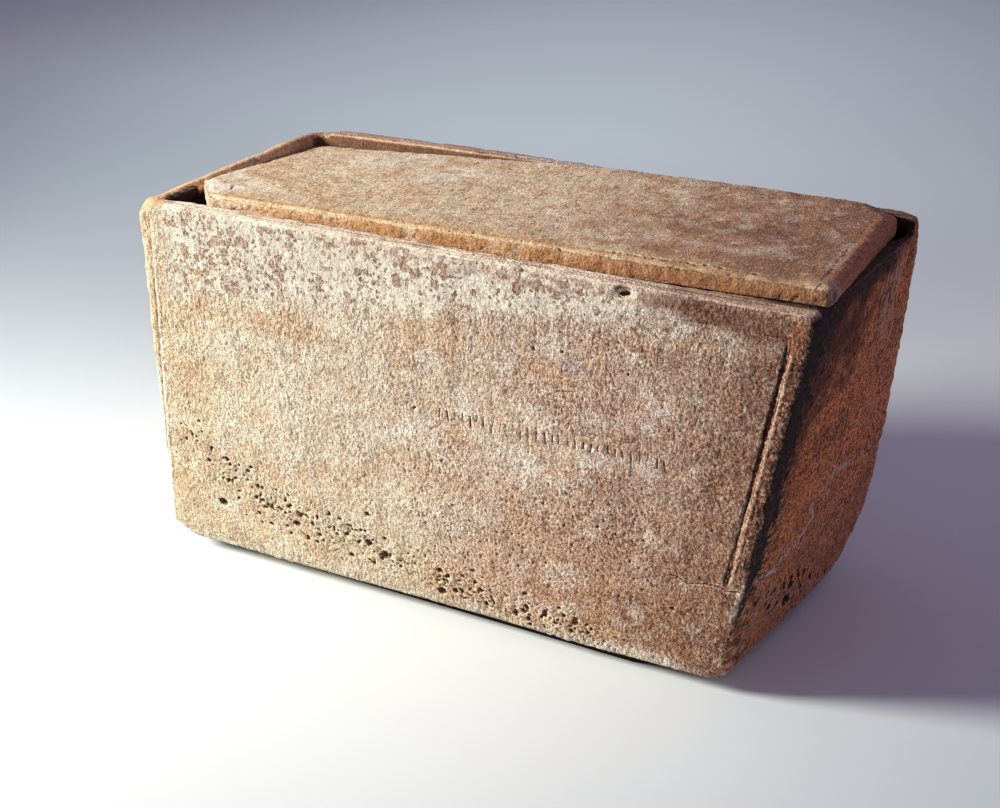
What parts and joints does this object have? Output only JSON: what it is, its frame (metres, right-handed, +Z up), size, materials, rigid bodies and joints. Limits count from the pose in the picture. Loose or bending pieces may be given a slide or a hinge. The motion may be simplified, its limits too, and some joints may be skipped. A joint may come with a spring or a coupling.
{
  "type": "stone ossuary",
  "caption": "Ancient limestone bone chest: a hollow box hewn from one block, with worn arrises, scribed border lines and a loose flat lid lying in a rebate open at one end.",
  "frame": {"origin": "on the standing surface, under the middle of the foot", "axes": "+X along the length towards the end that leans outwards, +Y from the inscribed long face towards the back, +Z up"},
  "size_m": [0.5749, 0.2614, 0.3177],
  "materials": {
    "chest_limestone": "weathered, pitted, chalky pale limestone with ochre and brown soil stains, matt",
    "lid_limestone": "weathered limestone, buff to brown, finely pitted, matt"
  },
  "bodies": {
    "root": {"chest": "chest_limestone", "lid": "lid_limestone"}
  },
  "joints": []
}
